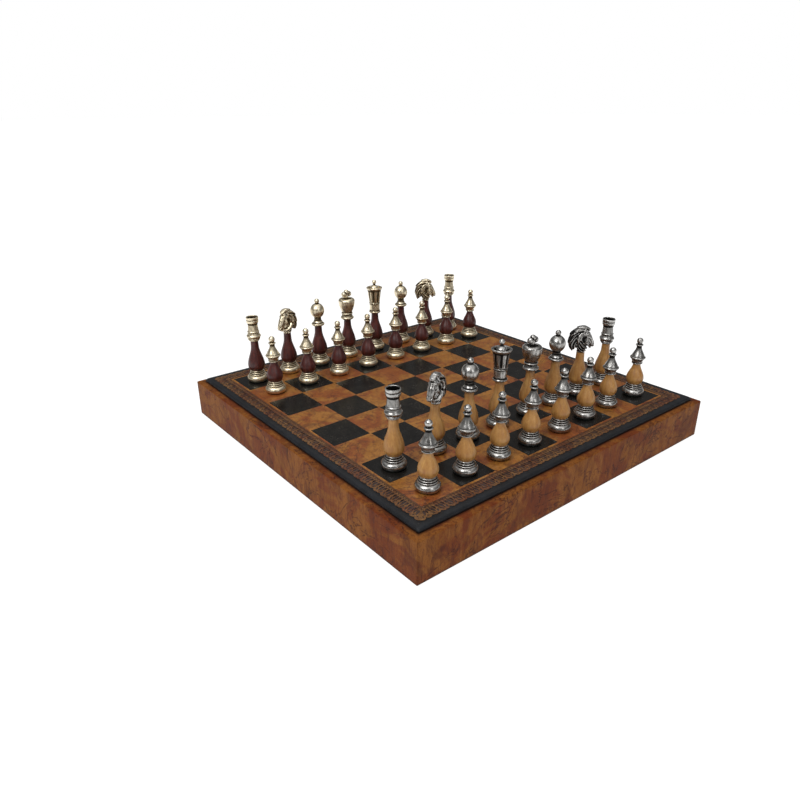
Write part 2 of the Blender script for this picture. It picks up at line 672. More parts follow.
def cheek_hollow(x, z, width):
    return bump(np.hypot(x - CHEEK_X, (z - CHEEK_Z) / CHEEK_TALL), width)


def mane_field(x, y, z):
    """Distance to the crest and mane: a thick band about the cheek, carved into locks and curls."""
    crest, chest = 65, 222  # the band's ends, in degrees about its middle
    inner, edge, lock = 6.3, 1.5, 3.1
    across, up = x - MANE_X, z - MANE_Z
    reach = np.hypot(across, up)
    angle = np.degrees(np.arctan2(up, across)) % 360
    share = np.clip((angle - crest) / (chest - crest), 0, 1)
    outer = 11.875 + 3.75 * share ** 1.5
    ends = np.radians(np.maximum(crest - 5 - angle, angle - chest + 1)) * reach
    flat = np.maximum(np.maximum(reach - outer, inner - reach), np.where(angle < 30, 9.0, ends))
    thick = 1.9 + 2.0 * np.clip(share / 0.6, 0, 1)
    a, b = flat + edge, y - thick + edge
    body = np.hypot(np.maximum(a, 0), np.maximum(b, 0)) - edge + np.minimum(np.maximum(a, b), 0)
    depth = outer - reach
    drift = 0.03405 * (angle - crest) + 0.0004086 * np.maximum(angle - 95, 0) ** 2
    phase = (depth + drift) / lock + 0.12 * np.sin(0.16 * angle + 0.9 * depth)
    return body + 0.55 - 1.15 * np.abs(np.sin(math.pi * phase)) ** 0.8


def horse_field(p):
    """Distance to a horse head that looks along +X, in millimetres, the same on both sides."""
    p = p.copy()
    p[..., 1] = np.abs(p[..., 1])
    p[..., 0] = p[..., 0] / SQUEEZE + LEAN * np.clip(p[..., 2] / 8, 0, 1)
    x, y, z = p[..., 0], p[..., 1], p[..., 2]
    narrow = p.copy()
    narrow[..., 1] *= 1 + 0.5 * np.clip((z - 13.5) / 7, 0, 1)
    # neck, head and jaw, then the lips
    neck = [(0.2, 0, 2.4), (1.0, 0, 5.0), (-1.0, 0, 10.5), (-0.6, 0, 15.3), (2.2, 0, 18.4)]
    head = [(2.9, 0, 18.6), (6.8, 0, 13.8), (10.4, 0, 8.5)]
    jaw = [(2.6, 0.8, 12.4), (5.8, 0.6, 8.9), (7.9, 0, 6.0)]
    shape = bow(narrow, neck, [3.8, 4.6, 5.0, 5.6, 5.3])
    shape = blend(shape, bow(narrow, head, [4.7, 3.7, 2.6]), 0.8)
    shape = blend(shape, bow(p, jaw, [4.4, 2.8, 1.6]), 0.6)
    shape = blend(shape, rod(p, (10.9, 0.8, 7.6), (11.2, 0.5, 6.8), 1.9, 1.75), 0.6)
    shape = blend(shape, rod(p, (8.5, 0, 5.1), (9.0, 0.4, 4.8), 1.25, 1.1), 0.4)
    shape = cut(shape, np.hypot(x - 6.7, z - 4.7) - 1.0, 0.4)
    # cheek: a dished hollow, ringed by a crescent, and the bar of the jaw in front of it
    side = np.clip((y - 1.2) / 1.6, 0, 1)
    bar = [(4.6, 16.6), (4.9, 13.0), (3.2, 10.0), (6.4, 7.6)]
    shape = shape + side * (1.5 * cheek_hollow(x, z, 2.7) - 0.75 * bump(trail(x, z, bar), 0.9))
    crescent = [(1.0, 4.0, 19.8), (-1.6, 4.5, 19.0), (-3.7, 4.8, 16.6), (-4.4, 4.8, 13.4), (-4.0, 4.6, 9.8),
                (-2.3, 4.5, 6.4), (0.6, 4.3, 3.6), (4.0, 3.0, 2.0)]
    shape = blend(shape, bow(p, crescent, [0.5, 0.85, 1.1, 1.2, 1.2, 1.1, 0.95, 0.6]), 0.25)
    # bold folds beside the crescent, down to the chest
    folds = ([(-1.8, 9.8), (0.2, 7.2), (2.8, 5.2), (5.4, 4.4)],
             [(-5.6, 7.6), (-3.8, 4.4), (-1.4, 2.2), (1.4, 0.9)])
    for fold in folds:
        gap = trail(x, z, fold)
        ridge = 1.1 * bump(gap, 0.85) - 0.9 * bump(gap - 1.5, 0.6)
        shape = shape - ridge * np.clip((y - 0.4) / 1.2, 0.25, 1)
    # forelock, the ear beside it, brow and eye
    shape = blend(shape, rod(narrow, (1.5, 0.3, 21.9), (4.4, 0.2, 21.6), 2.4, 1.9), 0.4)
    shape = blend(shape, bow(p, [(1.0, 3.4, 18.0), (1.6, 2.6, 21.2), (3.7, 1.9, 24.0)], [0.8, 0.9, 0.4]), 0.2)
    groove = bump(trail(x, z, [(2.8, 19.6), (3.9, 22.4), (4.5, 24.2)]), 0.5)
    shape = shape + 0.5 * groove * np.clip(y - 2, 0, 1)
    shape = cut(shape, rod(p, (7.3, 0, 20.0), (6.3, 2.4, 19.8), 0.6, 0.4), 0.5)
    shape = cut(shape, np.linalg.norm(p - np.array([6.1, 3.6, 17.0]), axis=-1) - 0.8, 0.3)
    shape = np.minimum(shape, np.linalg.norm(p - np.array([5.9, 2.8, 17.0]), axis=-1) - 0.75)
    shape = blend(shape, bow(p, [(4.2, 3.6, 17.7), (5.9, 3.2, 18.4), (7.7, 2.1, 17.7)], [0.4, 0.6, 0.4]), 0.3)
    # bridge of the nose, hollow below the eye, nostril and mouth
    shape = blend(shape, rod(p, (7.4, 0.7, 17.0), (11.7, 0.6, 9.8), 0.8, 0.8), 0.7)
    shape = cut(shape, rod(p, (7.2, 4.4, 13.8), (10.0, 3.2, 9.0), 1.4, 0.7), 0.6)
    shape = cut(shape, rod(p, (12.0, 2.1, 8.3), (12.8, 1.6, 7.7), 0.55, 0.6), 0.3)
    shape = cut(shape, rod(p, (8.2, 2.6, 7.0), (13.2, 1.9, 5.7), 0.3, 0.42), 0.2)
    shape = blend(shape, mane_field(x, y, z), 0.25)
    seat = np.hypot(np.maximum(np.hypot(x, y) - 3.2, 0), np.abs(z - 0.85)) - 0.8
    return np.maximum(np.minimum(shape, seat), 0.03 - z)


def neighbour_mean(points, faces, passes):
    """Points moved half of the way to the mean of their neighbours, passes times."""
    quads = np.array(faces)
    edges = np.vstack([quads[:, [i, (i + 1) % 4]] for i in range(4)])
    both = np.vstack([edges, edges[:, ::-1]])
    count = np.bincount(both[:, 0], minlength=len(points))[:, None]
    for _ in range(passes):
        total = [np.bincount(both[:, 0], points[both[:, 1], i], len(points)) for i in range(3)]
        points = 0.5 * points + 0.5 * np.stack(total, axis=1) / count
    return points


def surface_net(field_of, low, high, step):
    """Quads over the zero surface of a field, with a point in each crossed cell of its grid."""
    axes = [np.arange(low[i], high[i] + step, step) for i in range(3)]
    grid = np.stack(np.meshgrid(*axes, indexing="ij"), axis=-1)
    field = field_of(grid)
    inside = field < 0
    size = np.array(field.shape) - 1
    total, count = np.zeros((*size, 3)), np.zeros(tuple(size))
    crossings = []
    for axis in range(3):
        first = tuple(slice(0, -1) if i == axis else slice(None) for i in range(3))
        second = tuple(slice(1, None) if i == axis else slice(None) for i in range(3))
        a, b = field[first], field[second]
        crossed = inside[first] != inside[second]
        spot = grid[first].copy()
        spot[..., axis] += step * np.where(crossed, a / np.where(crossed, a - b, 1), 0)
        # each edge along this axis borders four cells
        for shift in np.ndindex(*(1 if i == axis else 2 for i in range(3))):
            window = tuple(slice(shift[i], shift[i] + size[i]) for i in range(3))
            total += spot[window] * crossed[window][..., None]
            count += crossed[window]
        crossings.append((axis, np.argwhere(crossed), inside[first]))
    used = count > 0
    number = np.full(tuple(size), -1)
    number[used] = np.arange(used.sum())
    points = total[used] / count[used][:, None]
    faces = []
    for axis, places, starts_inside in crossings:
        u, v = (i for i in range(3) if i != axis)
        inner = (places[:, (u, v)] > 0) & (places[:, (u, v)] < size[[u, v]])
        places = places[inner.all(axis=1)]
        ring = []
        for du, dv in ((-1, -1), (0, -1), (0, 0), (-1, 0)):
            cell = places.copy()
            cell[:, u] += du
            cell[:, v] += dv
            ring.append(number[tuple(cell.T)])
        quads = np.stack(ring, axis=1)
        forward = starts_inside[tuple(places.T)] ^ (axis == 1)
        quads[~forward] = quads[~forward][:, ::-1]
        faces.append(quads)
    return points, np.vstack(faces)


def horse_head(step=0.3):
    """Points, faces and cavity of the knight's head."""
    low, high = (-13.2, -6.6, -0.6), (14.1, 6.6, 26.1)
    points, quads = surface_net(horse_field, low, high, step)
    points = neighbour_mean(points, quads, 1)
    smooth = neighbour_mean(points, quads, 14)
    a, b, c, d = (points[quads[:, i]] for i in range(4))
    sides = np.cross(c - a, d - b)
    normals = np.zeros_like(points)
    for i in range(4):
        np.add.at(normals, quads[:, i], sides)
    normals /= np.maximum(np.linalg.norm(normals, axis=1), 1e-9)[:, None]
    cavity = np.sum((smooth - points) * normals, axis=1)
    x, y, z = points[:, 0] / SQUEEZE + LEAN, np.abs(points[:, 1]), points[:, 2]
    hollow = 0.15 * cheek_hollow(x, z, 2.9) * np.clip(y - 2, 0, 1)
    mane = np.clip((np.hypot(x - MANE_X, z - MANE_Z) - 7.5) / 1.5, 0, 1)
    behind = 0.18 * mane * (x < 1.5) * (z < 21)
    return points, quads.tolist(), cavity * 1.3 + hollow + behind


# ---------- chessmen ----------

OUTLINES = {"rook": rook_outline(), "bishop": bishop_outline(), "king": king_outline(),
            "queen": queen_outline(), "pawn": pawn_outline()}
FLUTES = {"queen": coronet_flutes, "pawn": bell_petals}


def between(values, low, high):
    return (values > low) & (values < high)


def patina(kind, points, cavity):
    """The cavity of a turned head, less on its plain walls and more in the rook's hollow."""
    radius, height = np.hypot(points[:, 0], points[:, 1]), points[:, 2]
    if kind == "rook":
        walls = between(height, 10.3, 17.4) | between(height, 6.2, 8.6)
        hollow = between(height, 16.6, 23.6) & (radius < 5.15)
        return np.where(walls, 0.03, cavity) + 0.15 * hollow
    if kind == "king":
        return np.where(between(height, 2.4, 9.5), 0.5 * cavity, cavity)
    if kind == "pawn":
        return np.where(between(height, 1.3, 4.6), np.minimum(cavity, 0.015), cavity)
    return cavity


def head_parts(kind, horse):
    """The parts of a man's head, on height 0, as joined() takes them."""
    if kind == "knight":
        points, faces, cavity = horse
        return [(points, faces, 0, cavity)]
    turns = 96 if kind == "queen" else TURNS
    points, faces, cavity = turned(OUTLINES[kind], turns, FLUTES.get(kind))
    parts = [(points, faces, 0, patina(kind, points, cavity))]
    return parts + trefoil() if kind == "king" else parts


def metal_mesh(kind, metal, horse):
    """The felt, the base and the head of a man, standing at height 0."""
    r, top = (PAWN_BASE_R, PAWN_STEM_TOP) if kind == "pawn" else (BASE_R, STEM_TOP)
    edge, under, over = r - FOOT_R * 0.55, 0.02, FELT_T - 0.04
    disc = [(0, under), (edge - 0.2, under), (edge, 0.3), (edge, over), (0, over)]
    felt, felt_faces, felt_cavity = turned(disc)
    base, base_faces, base_cavity = turned(base_outline(r))
    rings = (base[:, 2] > FOOT_TOP - 0.4) & (np.hypot(base[:, 0], base[:, 1]) < SEAT_R + 2.2)
    parts = [(felt, felt_faces, 1, felt_cavity), (base, base_faces, 0, base_cavity + 0.14 * rings)]
    for points, faces, material, cavity in head_parts(kind, horse):
        parts.append((points + (0, 0, top), faces, material, cavity))
    points, faces, chosen, cavity = joined(parts)
    return make_mesh(f"{kind}_{metal.name}", points, faces, [metal, FELT], chosen, 50.0, cavity=cavity)


def stem_mesh(kind, wood):
    outline = stem_outline(SEAT_R, BELLY_R, NECK_R, STEM_TOP, NECK_H)
    if kind == "pawn":
        outline = stem_outline(SEAT_R, PAWN_BELLY_R, PAWN_NECK_R, PAWN_STEM_TOP, 0)
    points, faces, _ = turned(outline, 64)
    return make_mesh(f"{kind}_stem_{wood.name}", points, faces, [wood])


def heading(man, number, looks):
    """How far a man's castings are turned about their own axis, in degrees."""
    kind = man.split("_")[1]
    if kind == "knight":
        return looks[int(man[-1]) - 1]
    return 0 if kind in ("king", "queen") else number * CAST_TURN


def dress_army(army, metal, wood, slots, looks, horse):
    """Castings and a turned stem for each man. Men of one kind share their meshes."""
    metals, stems = {}, {}
    men = sorted(body for body in frame["bodies"] if body.startswith(army + "_"))
    for number, man in enumerate(men):
        kind = man.split("_")[1]
        pawn = kind == "pawn"
        stem_kind = "pawn" if pawn else "piece"
        if kind not in metals:
            metals[kind] = metal_mesh(kind, metal, horse)
        if stem_kind not in stems:
            stems[stem_kind] = stem_mesh(stem_kind, wood)
        metal_node = man if pawn else man + "_metal"
        stem_nodes = [] if pawn else [man + "_stem"]
        low, high = corners(man if pawn else man + "_stem")
        spot = (*((low + high) / 2)[:2], BOARD_TOP)
        add_piece(man + "_castings", metals[kind], man, slots[0], metal_node, at=spot,
                  turn=heading(man, number, looks))
        add_piece(man + "_turned_stem", stems[stem_kind], man, slots[1], *stem_nodes, at=spot,
                  turn=number * STEM_TURN)


# ---------- square frames ----------

def square_ring(half, radius, z, cuts, corner_cuts=6):
    """Points counter-clockwise round a square with rounded corners."""
    flat = half - radius
    one = [(half, y) for y in np.linspace(-flat, flat, cuts, endpoint=False)]
    one += [(flat + radius * math.cos(t), flat + radius * math.sin(t))
            for t in np.linspace(0, math.pi / 2, corner_cuts, endpoint=False)]
    side = np.array(one)
    ring = np.vstack([side, side[:, ::-1] * (-1, 1), -side, side[:, ::-1] * (1, -1)])
    return np.column_stack([ring, np.full(len(ring), z)])


def swept_square(profile, cuts, closed=True, corner_cuts=6):
    """A profile of (half, corner radius, z) carried round a square, as points, faces and points per ring."""
    rings = [square_ring(half, radius, z, cuts, corner_cuts) for half, radius, z in profile]
    count = len(rings[0])
    return np.vstack(rings), ring_quads(len(rings), count, closed), count


def quarter(middle, height, r, n, down=False):
    """Points (reach, z) of a quarter round of radius r, from its top, or from its side when down."""
    angles = np.linspace(0, math.pi / 2, n)
    if down:
        return [(middle + r * math.cos(t), height - r * math.sin(t)) for t in angles]
    return [(middle + r * math.sin(t), height + r * math.cos(t)) for t in angles]


def slow_wave(points, length, seed):
    """A smooth value from -1 to 1 that wanders over the points."""
    ways = np.array([[1.0, 0.6, 0.3], [-0.5, 1.1, 0.7], [0.8, -0.9, 1.2], [1.7, 1.3, -0.4]])
    phases = seed * np.array([1.0, 2.3, 4.1, 5.9])
    return np.sin(points @ ways.T * (2 * math.pi / length) + phases).mean(axis=1)


def box_cover():
    """Leatherette folded over the rim and under the walls."""
    play, fold, low = 0.05, 1.0, 0.3
    out, rim, inner_top = BOX_HALF - play, BOX_H - 0.02, BOX_H - COVER_T
    profile = [(WALL_IN, 0.3, inner_top), (WALL_IN, 0.3, BOX_H - 0.25), (WALL_IN + 0.25, 0.4, rim)]
    profile += [(half, 0.5, rim) for half in (LID_HALF - 0.5, LID_HALF + 2.0, out - 2.2)]
    side = [(out, z) for z in np.linspace(BOX_H - 3.0, BAIZE_T + 2.0, 14)]
    outer = quarter(out - fold, rim - fold, fold, 8) + side
    outer += quarter(out - low, BAIZE_T + low, low, 5, down=True)
    profile += [(half, 0.6, z) for half, z in outer]
    profile += [(WALL_OUT, 0.8, BAIZE_T), (WALL_OUT, 0.8, inner_top)]
    points, faces, _ = swept_square(profile, 90)
    apart, height = np.abs(points[:, :2]), points[:, 2]
    reach = apart.max(axis=1)
    shown = (reach > LID_HALF + 1) & (height > BAIZE_T + 0.2)
    bulge = slow_wave(points, 60.0, 1.0) * play * 0.9 * shown
    outward = np.where(apart > BOX_HALF - 1.3, np.sign(points[:, :2]), 0)
    points[:, :2] += outward * bulge[:, None]
    # dirt at the foot, along the board's edge and on the upright corners
    foot = 0.8 * np.clip((BAIZE_T + 1.2 - height) / 1.2, 0, 1)
    near = np.clip((LID_HALF + 1.4 - reach) / 1.2, 0, 1) * (height > BOX_H - 0.5)
    across = np.abs(np.abs(points[:, 0]) - np.abs(points[:, 1]))
    upright = 0.2 * np.clip(1 - across / 1.2, 0, 1) * (reach > out - 1)
    dirt = np.clip(np.maximum.reduce([foot, near, upright]), 0, 1)
    faces = [face[::-1] for face in faces]
    mesh = make_mesh("box_cover_skin", points, faces, [LEATHERETTE], None, 45.0, fold=dirt)
    add_piece("box_leatherette", mesh, "box", "box_leatherette", "box_cover")


def edge_roll():
    """The padded black edge, pinched where its four lengths are mitred."""
    r, play, under = 2.3, 0.06, BOX_H + 0.02
    top, out = BOARD_TOP - play, LID_HALF - play
    inner, back = BORDER_OUT - 2.6, LID_HALF - 4.0
    line = [(inner, PANEL_TOP), (inner, BOARD_TOP - 0.32), (BORDER_OUT - 0.2, BOARD_TOP - 0.3),
            (BORDER_OUT + 0.3, BOARD_TOP - 0.12), (BORDER_OUT + 1.0, top - 0.02),
            *quarter(out - r, top - r, r, 12), (out, BOX_H + 0.9), (out - 0.5, BOX_H + 0.2),
            (out - 1.2, under), (back, under), (back, PANEL_TOP)]
    points, faces, _ = swept_square([(half, 0.02, z) for half, z in line], 220, corner_cuts=1)
    apart = np.abs(points[:, :2])
    shown = np.clip((apart.max(axis=1) - BORDER_OUT) / 1.5, 0, 1)
    mitre = 0.28 * bump(apart[:, 0] - apart[:, 1], 0.9)
    dents = play * 0.5 * (1 + slow_wave(points, 23.0, 2.0))
    sink = shown * (mitre + dents)
    points[:, 2] -= sink * (points[:, 2] > BOX_H + 1.0)
    points[:, :2] *= (1 - sink / BOX_HALF * 0.8)[:, None]
    mesh = make_mesh("board_edge", points, [face[::-1] for face in faces], [BLACK_ROLL], None, 40.0)
    roll = add_piece("edge_roll_leather", mesh, "board", "black_leather", "board_edge_roll")


# ---------- the board's leather ----------

SCALLOP_FOOT = 2.2  # from the band's edge in to the foot of its scallops
SCALLOP_RISE = 1.7
CELL_LENGTH = 8.35  # wished, and fitted to a whole number of repeats along each side


def light_leather():
    """The leather sheet of the field, with its margin turned down into the tooled line."""
    line = [(LINE_IN - 0.05, PANEL_TOP), (LINE_IN, TAN_TOP - 0.18), (LINE_IN - 0.12, TAN_TOP - 0.03),
            (LINE_IN - 0.3, TAN_TOP), (HALF_FIELD, TAN_TOP)]
    profile = [(half, 0.05, z) for half, z in line]
    points, faces, count = swept_square(profile, 32, closed=False, corner_cuts=2)
    return points, capped(points, faces, count)


def dark_tile(x, y):
    """A black square, a little smaller than its place, with softly pressed edges."""
    half = SQUARE / 2
    profile = [(half - 0.36, 0.5, TAN_TOP - 0.1), (half - 0.38, 0.5, TAN_TOP + 0.02),
               (half - 0.5, 0.5, BOARD_TOP - 0.01), (half - 0.9, 0.4, BOARD_TOP), (half / 2, 0.3, BOARD_TOP)]
    points, faces, count = swept_square(profile, 4, closed=False, corner_cuts=4)
    return points + (x, y, 0), capped(points, faces, count)


def leaf(base, tip, width, bend=0.0, n=8):
    """Outline of a pointed leaf whose rib curves aside by bend, counter-clockwise."""
    base, tip = np.array(base, float), np.array(tip, float)
    along, shares = tip - base, np.linspace(0, 1, n + 1)
    across = left_of(along)
    rib = base + shares[:, None] * along + (np.sin(math.pi * shares) * bend)[:, None] * across
    wide = (width / 2 * np.sin(math.pi * shares ** 0.8) ** 0.8)[:, None] * across
    return np.vstack([rib - wide, (rib + wide)[::-1][1:-1]])


def within(points, outline):
    """Which points lie inside an outline."""
    inside = np.zeros(len(points), bool)
    for (ax, ay), (bx, by) in zip(outline, np.roll(outline, -1, axis=0)):
        crosses = (ay > points[:, 1]) != (by > points[:, 1])
        level = np.where(crosses, ax + (points[:, 1] - ay) * (bx - ax) / (by - ay if by != ay else 1), 0)
        inside ^= crosses & (points[:, 0] < level)
    return inside


def shrunk(outline, by):
    """A counter-clockwise outline moved inwards."""
    along = np.roll(outline, -1, axis=0) - np.roll(outline, 1, axis=0)
    return outline + left_of(along) * by


def stamped(edge, marks, accents=(), depth=0.24, slope=0.09):
    """A flat outline with sunk, inked marks, at or below height 0, as points, faces and materials.

    The floors of the accents, which are numbers of marks, stay plain."""
    outlines = [np.array(edge, float)] + [np.array(mark, float) for mark in marks]
    flat = np.vstack(outlines)
    edges, start = [], 0
    for outline in outlines:
        edges += [(start + i, start + (i + 1) % len(outline)) for i in range(len(outline))]
        start += len(outline)
    found = geometry.delaunay_2d_cdt([Vector(p) for p in flat], edges, [], 0, 1e-5)
    ground = np.array([tuple(p) for p in found[0]])
    triangles = np.array(found[2])
    middle = ground[triangles].mean(axis=1)
    keep = within(middle, outlines[0])
    for outline in outlines[1:]:
        keep &= ~within(middle, outline)
    points = [np.column_stack([ground, np.zeros(len(ground))])]
    faces = [tuple(face) for face in triangles[keep]]
    chosen = [0] * len(faces)
    start = len(ground)
    for number, outline in enumerate(outlines[1:]):
        count = len(outline)
        floor = shrunk(outline, slope)
        points.append(np.column_stack([outline, np.zeros(count)]))
        points.append(np.column_stack([floor, np.full(count, -depth)]))
        for i in range(count):
            j = (i + 1) % count
            faces.append((start + j, start + i, start + count + i, start + count + j))
            chosen.append(1)
        bottom = geometry.tessellate_polygon([[Vector((*p, 0)) for p in floor]])
        for face in bottom:
            a, b, c = (floor[i] for i in face)
            turn = (b[0] - a[0]) * (c[1] - a[1]) - (b[1] - a[1]) * (c[0] - a[0])
            face = face if turn > 0 else face[::-1]
            faces.append(tuple(start + count + i for i in face))
            chosen.append(0 if number in accents else 1)
        start += 2 * count
    return np.vstack(points), faces, chosen


def scallop(a, b, lobes, rise, n=7):
    """Points from a to b over round lobes that bulge by rise to the right of the way."""
    a, b = np.array(a, float), np.array(b, float)
    along = (b - a) / lobes
    bulge = -left_of(along) * rise
    return [a + along * (lobe + t) + bulge * math.sin(math.pi * t) ** 0.6
            for lobe in range(lobes) for t in np.linspace(0, 1, n, endpoint=False)]


def border_cell(width, depth):
    """One repeat of the stamped scroll. X runs along the side and Y outwards."""
    c, foot, slant, beads = width / 2, depth - SCALLOP_FOOT, 0.14, 3
    marks = [leaf((c, 2.8), (c, 10.4), 2.3, 0.0, 7)]
    for s in (-1, 1):
        marks += [leaf((c + s * 1.9, 2.9), (c + s * 2.2, 8.0), 1.6, s * -0.35, 6),
                  leaf((c + s * 3.0, 2.8), (c + s * 3.35, 6.4), 0.95, 0.0, 5),
                  leaf((c + s * 3.35, 7.8), (c + s * 1.6, 11.2), 1.5, s * 0.3, 6)]
    marks.append(leaf((c - 1.3, 12.0), (c + 1.3, 12.0), 0.85, 0.3, 6))
    for mark in marks:
        mark[:, 0] += (mark[:, 1] - 6) * slant
    for i in range(beads):
        u = width * (i + 0.5) / beads
        marks.append(leaf((u - 0.6, 1.25), (u + 0.65, 2.3), 1.15, 0.0, 4))
    left, right = 0.03, width - 0.03
    marks.append(np.array([(left, 0.35), (right, 0.35), (right, 0.8), (left, 0.8)]))
    edge = [(0, 0), (width, 0), *scallop((width, foot), (0, foot), 1, SCALLOP_RISE), (0, foot)]
    return stamped(edge, marks)


def border_corner(depth):
    """The corner's palmette: a fan of leaves from the inner corner, with small ones between their tips."""
    leaves = ((7, 8.8, 1.6), (26, 10.4, 1.9), (45, 12.6, 2.6), (64, 10.4, 1.9), (83, 8.8, 1.6))
    small = ((16, 11.6), (35.5, 12.9), (54.5, 12.9), (74, 11.6))
    fan = [(angle, 3.6, tip, width, 6) for angle, tip, width in leaves]
    fan += [(angle, tip - 2.4, tip, 1.1, 4) for angle, tip in small]
    marks = []
    for angle, near, tip, width, n in fan:
        way = np.array([math.cos(math.radians(angle)), math.sin(math.radians(angle))])
        marks.append(leaf(way * near, way * tip, width, 0.0, n))
    marks.append(leaf((0.8, 0.8), (2.3, 2.3), 1.2))
    foot = depth - SCALLOP_FOOT
    edge = [(0, 0), (foot, 0), *scallop((foot, 0), (foot, foot), 2, SCALLOP_RISE),
            *scallop((foot, foot), (0, foot), 2, SCALLOP_RISE), (0, foot)]
    return stamped(edge, marks, accents=(2,))


def border_band():
    """The stamped band, from cells along the four sides and a palmette in each corner."""
    depth, side = BORDER_OUT - BORDER_IN, 2 * BORDER_IN
    repeats = round(side / CELL_LENGTH)
    cell, cell_faces, cell_chosen = border_cell(side / repeats, depth)
    corner, corner_faces, corner_chosen = border_corner(depth)
    cell_faces = [face[::-1] for face in cell_faces]
    parts = []
    for quarter_turn in range(4):
        turn = np.array(Matrix.Rotation(quarter_turn * math.pi / 2, 3, "Z")).T
        for i in range(repeats):
            points = cell * (1, -1, 1) + (i * side / repeats - side / 2, -BORDER_IN, TAN_TOP)
            parts.append((points @ turn, cell_faces, cell_chosen, 0))
        points = corner + (BORDER_IN, BORDER_IN, TAN_TOP)
        parts.append((points @ turn, corner_faces, corner_chosen, 0))
    # the turned-down inner lip and the inked floor of the tooled line
    floor = TAN_TOP - 0.2
    lip = [(BORDER_IN, TAN_TOP), (BORDER_IN - 0.12, TAN_TOP - 0.04), (BORDER_IN - 0.15, floor)]
    line = [(BORDER_IN, floor), (LINE_IN - 0.1, floor)]
    for material, strip in enumerate((lip, line)):
        profile = [(half, 0.05, z) for half, z in strip]
        points, faces, _ = swept_square(profile, 8, closed=False, corner_cuts=1)
        parts.append((points, faces, material, 0))
    points, faces, chosen, _ = joined(parts)
    return make_mesh("border_band", points, faces, [BAND, INK], chosen, 30.0)


def board_leather():
    """The light leather, the border and the black squares. The square of the lowest X and Y is light."""
    points, faces = light_leather()
    mesh = make_mesh("field_leather", points, faces, [TAN])
    add_piece("light_leather", mesh, "board", "board_leather", "board_leather")
    add_piece("border_leather", border_band(), "board", "board_leather")
    middles = (np.arange(FILES) - (FILES - 1) / 2) * SQUARE
    parts = [(*dark_tile(middles[i], middles[j]), 0, 0)
             for i in range(FILES) for j in range(FILES) if (i + j) % 2]
    points, faces, _, _ = joined(parts)
    mesh = make_mesh("dark_tiles", points, faces, [BLACK_SQUARE])
    add_piece("dark_leather_squares", mesh, "board", "black_leather", "board_dark_squares")


# ---------- cloth inside and under the box ----------

def crowned_pad(low, high, z, thick, n=14):
    """A glued cloth pad between two corners, thickest in the middle, with soft edges."""
    t, soft = np.linspace(-1, 1, n + 1), 6.0
    shares = (np.sign(t) * np.abs(t) ** 0.6 + 1) / 2
    (x0, y0), (x1, y1) = low, high
    points = []
    for y in y0 + (y1 - y0) * shares:
        for x in x0 + (x1 - x0) * shares:
            edge = min(x - x0, x1 - x, y - y0, y1 - y)
            rise = 0.55 + 0.45 * min(1, max(edge, 0) / soft)
            points.append((x, y, z + thick * (rise if edge > 1e-6 else 0.2)))
    number = np.arange((n + 1) ** 2).reshape(n + 1, n + 1)
    here, there = number[:-1], number[1:]
    quads = np.stack([here[:, :-1], here[:, 1:], there[:, 1:], there[:, :-1]], axis=2).reshape(-1, 4)
    rim = [*number[0], *number[1:, n], *number[n, :n][::-1], *number[1:n, 0][::-1]]
    foot = [len(points) + k for k in range(len(rim))]
    points += [(points[i][0], points[i][1], z) for i in rim]
    wall = zip(rim[1:] + rim[:1], rim, foot, foot[1:] + foot[:1])
    return np.array(points), [*quads.tolist(), *wall, foot[::-1]]


def linings():
    """Velvet on the walls and in the sixteen bays, the cloth under the board and the baize under the box."""
    pitch = (2 * INNER_HALF + DIVIDER_T) / BAY_COLUMNS
    end, long_y, off = INNER_HALF + DIVIDER_T / 2, PAWN_BAY + DIVIDER_T, DIVIDER_T / 2 + LAP_GAP
    xs = [i * pitch - end for i in range(BAY_COLUMNS + 1)]
    ys = [-end, -long_y, 0, long_y, end]
    parts = []
    for x0, x1 in zip(xs, xs[1:]):
        for y0, y1 in zip(ys, ys[1:]):
            pad = crowned_pad((x0 + off, y0 + off), (x1 - off, y1 - off), FLOOR_TOP, LINING_T)
            parts.append((*pad, 0, 0))
    top = BOX_H - COVER_T
    profile = [(WALL_IN, 0.3, FLOOR_TOP), (WALL_IN, 0.3, top), (WALL_IN - 0.2, 0.4, top),
               (INNER_HALF, 0.6, top - 0.5), (INNER_HALF, 0.6, FLOOR_TOP)]
    wall, wall_faces, _ = swept_square(profile, 40)
    points, faces, _, _ = joined([*parts, (wall, wall_faces, 0, 0)])
    mesh = make_mesh("velvet_lining", points, faces, [VELVET])
    add_piece("velvet_lining", mesh, "box", "velvet", "box_lining")

    # the baize is less crowned than the other cloths, and flat below
    half = corners("box_baize")[1][0]
    points, faces = crowned_pad((-half, -half), (half, half), 0, BAIZE_T, 40)
    height = points[:, 2]
    points[:, 2] = np.where(height > 0.01, BAIZE_T - 0.3 * (BAIZE_T - height), 0)
    mesh = make_mesh("underside_baize", points, faces, [BAIZE])
    add_piece("underside_baize", mesh, "box", "baize", "box_baize")

    low, high = corners("board_underlay")
    points, faces = crowned_pad(low[:2], high[:2], 0, high[2] - low[2], 40)
    points = points * (1, 1, -1) + (0, 0, high[2])
    mesh = make_mesh("board_under_cloth", points, [face[::-1] for face in faces], [VELVET])
    add_piece("board_under_cloth", mesh, "board", "velvet", "board_underlay")


def carry_over():
    """The rigid CAD pieces that stay, with better materials."""
    woods = {"box_floor": CARCASS_X, "box_walls": CARCASS_X, "box_dividers": CARCASS_X,
             "board_panel": CARCASS_Y, "board_cleats": CARCASS_Y}
    for name, material in woods.items():
        mesh = frame["nodes"][name].data
        mesh.materials.clear()
        mesh.materials.append(material)


# ---------- studio ----------

